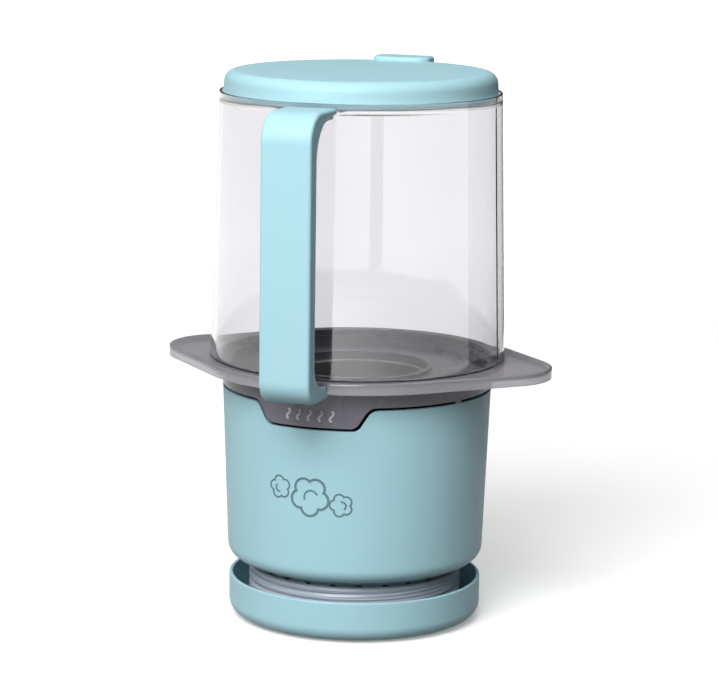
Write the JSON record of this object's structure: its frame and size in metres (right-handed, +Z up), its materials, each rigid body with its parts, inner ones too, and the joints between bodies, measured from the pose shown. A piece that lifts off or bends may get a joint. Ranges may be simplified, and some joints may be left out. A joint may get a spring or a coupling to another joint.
{
  "type": "popcorn maker",
  "caption": "Personal hot-air popcorn maker: round powered base with a cord-wrap dish, clear handled popping bowl upside down on top, and a snap lid.",
  "frame": {"origin": "on the resting surface, on the vertical axis of the round base", "axes": "+Z up; -Y towards the handle and the label shield; X along the two wings of the bowl rim"},
  "size_m": [0.1976, 0.1785, 0.2737],
  "materials": {
    "aqua_plastic": "satin moulded polypropylene",
    "clear_plastic": "clear polycarbonate, polished",
    "smoke_clear_plastic": "smoke-tinted polycarbonate, polished",
    "smoke_plastic": "smoke-grey moulded nylon",
    "dark_plastic": "black moulded phenolic",
    "soft_rubber": "matt rubber",
    "cord_vinyl": "soft vinyl, satin",
    "chamber_aluminium": "spun",
    "steel_sheet": "rolled",
    "screw_steel": "zinc plated",
    "mica": "pressed mica sheet",
    "heating_wire": "oxidised nickel-chrome",
    "silicone": "matt",
    "brass": "nickel-free, polished",
    "magnet": "sintered ferrite",
    "rotor_steel": "laminated",
    "board": "glass-epoxy board"
  },
  "bodies": {
    "base": {"base_dish": "aqua_plastic", "rubber_feet": "soft_rubber", "cord_hub": "aqua_plastic", "cord_coil": "cord_vinyl", "cord_tail": "cord_vinyl", "cord_plug": "cord_vinyl", "plug_blades": "brass", "cord_grommet": "soft_rubber", "body_shell": "aqua_plastic", "bottom_cover": "dark_plastic", "collar": "smoke_plastic", "popping_chamber": "chamber_aluminium", "chamber_seal": "silicone", "heat_shield": "steel_sheet", "heater_frame": "mica", "heater_coil": "heating_wire", "fan_housing": "dark_plastic", "motor_bracket": "steel_sheet", "motor_can": "steel_sheet", "motor_end_cap": "dark_plastic", "motor_bushes": "brass", "motor_magnets": "magnet", "thermostat": "dark_plastic", "thermal_fuse": "silicone", "rectifier_board": "board", "diodes": "dark_plastic", "lead_wires": "silicone", "case_screws": "screw_steel", "hub_screws": "screw_steel", "bracket_screws": "screw_steel", "motor_screws": "screw_steel"},
    "bowl": {"bowl": "clear_plastic", "bowl_rim": "smoke_clear_plastic", "handle_strap": "aqua_plastic"},
    "lid": {"lid": "aqua_plastic"},
    "rotor": {"motor_shaft": "screw_steel", "motor_rotor": "rotor_steel", "impeller": "dark_plastic"}
  },
  "joints": [
    {"name": "bowl_lift", "type": "slide", "parent": "base", "child": "bowl", "axis": [0, 0, 1], "range_m": [0, 0.06]},
    {"name": "lid_lift", "type": "slide", "parent": "bowl", "child": "lid", "axis": [0, 0, 1], "range_m": [0, 0.03]},
    {"name": "impeller_spin", "type": "hinge", "parent": "base", "child": "rotor", "pos_m": [0, 0, 0.05], "axis": [0, 0, 1], "continuous": true}
  ]
}
